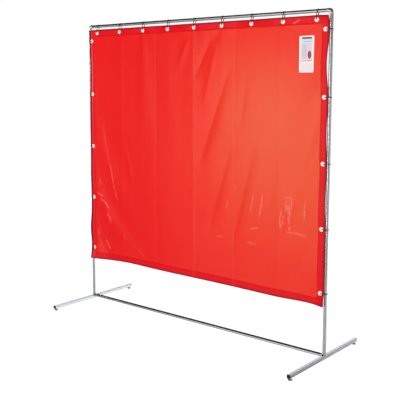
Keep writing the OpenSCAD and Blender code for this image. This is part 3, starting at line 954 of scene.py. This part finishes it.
def label_places(low, high):
    """The label's flat points as shares u, v and as x, z, its corners rounded."""
    columns, rows = LABEL_GRID
    shares = np.meshgrid(np.linspace(0, 1, columns + 1), np.linspace(0, 1, rows + 1), indexing="ij")
    uv = np.stack(shares, axis=-1)
    half = np.array([high.x - low.x, high.z - low.z]) / 2
    middle = np.array([high.x + low.x, high.z + low.z]) / 2
    away = (2 * uv - 1) * half
    # round the corners by drawing the outer points in
    over = np.clip(np.abs(away) - (half - LABEL_CORNER), 0, None)
    reach = np.linalg.norm(over, axis=-1, keepdims=True)
    shrink = np.where(reach > LABEL_CORNER, LABEL_CORNER / np.maximum(reach, 1e-9), 1.0)
    away -= np.sign(away) * over * (1 - shrink)
    return uv, middle + away


def label_on_film(points, normals):
    """The label as a thin sheet that follows the film."""
    uv, places = label_places(*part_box("label_patch"))
    x, z = places[..., 0], places[..., 1]
    i = (x + HALF_W) / (2 * HALF_W) * COLUMNS
    j = (z - bottom_edge(x)) / (TOP_Z - bottom_edge(x)) * ROWS
    back = -FILM_T - 2 * LAYER_GAP
    cells = np.ones(LABEL_GRID, bool)
    on_film, normal = sample(points, i, j), sample(normals, i, j)
    solid, faces, source = sheet_solid(on_film, normal, cells, back - LABEL_T, back)
    piece = new_piece("label", solid, faces, label_material())
    layer = piece.data.uv_layers.new(name="UVMap")
    loops = np.empty(len(piece.data.loops), int)
    piece.data.loops.foreach_get("vertex_index", loops)
    layer.data.foreach_set("uv", uv.reshape(-1, 2)[source][loops].ravel())
    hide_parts("label_patch")


def build_curtain():
    """The film, its turned border with a rolled edge and a sealed line, and the label."""
    centres = grommet_centres()
    flat, points, normals = draped_film(centres)
    keep = open_grommet_holes(flat, points, centres)
    hem = hem_cells(keep)
    film = clear_film("film", doubled=False)
    hem_film = clear_film("film_hem", doubled=True)
    # painted glints: pale colour along the marks and creases in place of mirrored light
    shares = {"painted_glint": painted_glint_share(flat[..., 0], flat[..., 2])}
    # the panel is one layer; the border is the same film with a second layer turned behind it
    panel = film_sheet("curtain_panel", points, normals, keep & ~hem, -LAYER_GAP, film, shares)
    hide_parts("curtain")
    # the border also carries painted shade of the uprights' dark sides and painted light of the
    # left upright's lit side
    shares.update(fold=edge_and_shade_share(flat), upright=upright_share(flat))
    film_sheet("curtain_hem", points, normals, hem, FILM_T, hem_film, shares)
    fold = film_bead("curtain_hem_fold", points, normals, (0, 0), 0, FOLD_R, hem_film)
    add_share(fold, "fold", np.ones(len(fold.data.vertices)))
    inset = (HEM_COLUMNS, HEM_ROWS)
    film_bead("curtain_hem_weld", points, normals, inset, FILM_T, WELD_R, film)
    label_on_film(points, normals)


# ---------------- CAD nodes


def finish_cad_nodes():
    """Gives every carried-over CAD node its material."""
    by_slot = {
        "galvanised": galvanised(),
        "bright_zinc": bright_zinc(),
        "spring_steel": bright_zinc("spring_steel", (0.5, 0.5, 0.52), 0.2),
        "black_plastic": black_plastic("black_plastic", (0.006, 0.006, 0.008), 0.42, 1500),
        "black_nylon": black_plastic("black_nylon", (0.010, 0.010, 0.011), 0.34, 2500),
        "black_rubber": black_plastic("black_rubber", (0.018, 0.017, 0.017), 0.62, 1800),
        "cream_plastic": cream_plastic(),
    }
    for part in frame["record"]["subparts"]:
        material = by_slot.get(part["material_slot"])
        node = frame["nodes"][part["node"]]
        if material is None or node.hide_render:
            continue
        node.data.materials.clear()
        node.data.materials.append(material)


# ---------------- studio


# Strength of the world in diffuse light, and as the camera sees it
SOFT_LIGHT, SEEN_WHITE = 0.60, 1.02
# What shiny surfaces mirror, as (degrees from straight in front, round to the left; brightness)
AROUND = (
    (-180, 0.25), (-150, 0.45), (-125, 1.1), (-95, 0.9), (-60, 0.7), (-40, 0.5), (-10, 0.6),
    (12, 1.4), (30, 2.3), (36.5, 2.1), (39.4, 1.5), (41.5, 0.8), (43.6, 0.4), (46.5, 0.12),
    (55, 0.05), (90, 0.05), (120, 0.10), (150, 0.15), (180, 0.25),
)
# and as (sine of the angle above the horizon, share of that brightness)
UPWARDS = (
    (-1.0, 0.20), (-0.35, 0.20), (-0.22, 0.42), (-0.12, 0.85), (-0.03, 1.0), (0.03, 0.80),
    (0.08, 0.48), (0.15, 0.16), (0.3, 0.07), (1.0, 0.05),
)
# plus light by the sine of the angle above the horizon, in front and behind
FRONT_GLOW = (
    (-1.0, 0.55), (-0.6, 0.50), (-0.36, 0.62), (-0.30, 0.50), (-0.26, 0.22), (-0.20, 0.10),
    (-0.14, 0.0), (1.0, 0.0),
)
REAR_GLOW = (
    (-1.0, 0.6), (-0.6, 0.6), (-0.40, 0.24), (-0.34, 0.26), (-0.29, 1.6), (-0.18, 1.1),
    (-0.10, 0.0), (0.16, 0.0), (0.25, 1.5), (0.31, 1.6), (0.36, 1.0), (0.44, 0.9), (0.50, 0.05),
    (1.0, 0.03),
)
FRONT_TINT, REAR_TINT = (1.0, 0.97, 0.93), (0.96, 0.985, 1.03)
# The sine of the angle towards the back over which front turns into rear
BEHIND = (0.05, 0.35)
FLOOR_R, FLOOR_SIDES = 9.0, 96
# Strength of the paper white that the camera sees on the floor, and the share of lit floor
FLOOR_WHITE, FLOOR_LIT = 1.30, 0.25


def mirrored(nodes, links):
    """What shiny surfaces mirror: bright panels, a dark ceiling and the floor's glow."""
    coordinates = nodes.new("ShaderNodeTexCoord")
    x, y, z = split(nodes, links, coordinates.outputs["Generated"])
    left = math_node(nodes, links, "MULTIPLY", x, -1)
    front = math_node(nodes, links, "MULTIPLY", y, -1)
    round_left = math_node(nodes, links, "ARCTAN2", left, front)
    degrees = math_node(nodes, links, "MULTIPLY", round_left, 180 / math.pi)
    around = profile(nodes, links, degrees, AROUND)
    panels = math_node(nodes, links, "MULTIPLY", around, profile(nodes, links, z, UPWARDS))
    behind = range_share(nodes, links, y, *BEHIND, "SMOOTHSTEP")
    ahead, rear = profile(nodes, links, z, FRONT_GLOW), profile(nodes, links, z, REAR_GLOW)
    glow = mix(nodes, links, behind, ahead, rear)
    shine = nodes.new("ShaderNodeBackground")
    links.new(mix(nodes, links, behind, FRONT_TINT, REAR_TINT), shine.inputs["Color"])
    links.new(math_node(nodes, links, "ADD", panels, glow), shine.inputs["Strength"])
    return shine.outputs["Background"]


def studio_world():
    """White to the camera, even for diffuse light, panels and a dark ceiling in reflections."""
    world = bpy.data.worlds.new("studio")
    bpy.context.scene.world = world
    world.use_nodes = True
    # sampled along bounced rays only, so that diffuse light and mirrored panels stay apart
    world.cycles.sampling_method = "NONE"
    nodes, links = world.node_tree.nodes, world.node_tree.links
    nodes.clear()
    soft = nodes.new("ShaderNodeBackground")
    soft.inputs["Strength"].default_value = SOFT_LIGHT
    seen = nodes.new("ShaderNodeBackground")
    seen.inputs["Color"].default_value = (1, 1, 1, 1)
    seen.inputs["Strength"].default_value = SEEN_WHITE
    ray = nodes.new("ShaderNodeLightPath").outputs
    shine = mirrored(nodes, links)
    lit = mix_shaders(nodes, links, ray["Is Glossy Ray"], soft.outputs["Background"], shine)
    shown = mix_shaders(nodes, links, ray["Is Camera Ray"], lit, seen.outputs["Background"])
    links.new(shown, nodes.new("ShaderNodeOutputWorld").inputs["Surface"])


def pale_floor():
    """Plain matt floor, paler to the camera than its light alone would make it."""
    material, nodes, links, shader = new_material("pale_floor")
    shader.inputs["Base Color"].default_value = (0.9, 0.9, 0.9, 1)
    shader.inputs["Roughness"].default_value = 1.0
    shader.inputs["Specular IOR Level"].default_value = 0.0
    paper = nodes.new("ShaderNodeEmission")
    paper.inputs["Strength"].default_value = FLOOR_WHITE
    lit = shader.outputs["BSDF"]
    pale = mix_shaders(nodes, links, FLOOR_LIT, paper.outputs["Emission"], lit)
    ray = nodes.new("ShaderNodeLightPath").outputs
    shown = mix_shaders(nodes, links, ray["Is Camera Ray"], lit, pale)
    links.new(shown, nodes["Material Output"].inputs["Surface"])
    return material


def floor():
    """Plain pale round floor whose far edge runs into the white background."""
    angles = [2 * math.pi * k / FLOOR_SIDES for k in range(FLOOR_SIDES)]
    ring = [(FLOOR_R * math.cos(angle), FLOOR_R * math.sin(angle), 0) for angle in angles]
    mesh = bpy.data.meshes.new("floor")
    mesh.from_pydata(ring, [], [tuple(range(FLOOR_SIDES))])
    mesh.materials.append(pale_floor())
    disc = bpy.data.objects.new("floor", mesh)
    disc.visible_glossy = False
    bpy.context.scene.collection.objects.link(disc)


def area_light(name, at, size, power, glossy=False):
    """A lamp aimed at the screen's middle: in diffuse light only, or in reflections only."""
    data = bpy.data.lights.new(name, "AREA")
    data.shape = "RECTANGLE"
    data.size, data.size_y = size
    data.energy = power
    lamp = bpy.data.objects.new(name, data)
    lamp.location = at
    lamp.rotation_euler = (Vector((0, 0, 1.0)) - Vector(at)).to_track_quat("-Z", "Y").to_euler()
    lamp.visible_camera = False
    lamp.visible_glossy = glossy
    lamp.visible_diffuse = not glossy
    bpy.context.scene.collection.objects.link(lamp)


def studio():
    """Pale floor, white surroundings and soft light from the front, the right and the back."""
    studio_world()
    floor()
    area_light("key", (-1.2, -4.6, 2.0), (3.2, 2.4), 122)
    area_light("fill", (4.2, -1.5, 1.8), (2.6, 2.4), 42)
    area_light("back", (0.5, 4.8, 1.8), (4.0, 2.5), 112)
    # narrow strips that only shiny surfaces mirror, on kinks in the film and on the tubes
    area_light("strip_left", (-4.6, -1.9, 1.2), (0.30, 3.0), 36, glossy=True)
    area_light("strip_front", (-0.3, -4.6, 1.2), (0.25, 3.0), 30, glossy=True)


# ---------------- camera


def camera():
    """The viewing angle: from the front right, at about chest height."""
    data = bpy.data.cameras.new("camera")
    data.sensor_width = 36.0
    data.lens = 66.5
    data.shift_x = 0.0233
    data.shift_y = -0.074
    data.clip_end = 100
    view = bpy.data.objects.new("camera", data)
    heading, tilt = math.radians(39.9), math.radians(6.75)
    view.location = (2.801, -3.390, 1.482)
    view.rotation_euler = Euler((math.pi / 2 - tilt, 0, heading), "XYZ")
    bpy.context.scene.collection.objects.link(view)
    bpy.context.scene.camera = view


build_curtain()
finish_cad_nodes()
studio()
camera()
bpy.context.scene.view_settings.view_transform = "Standard"
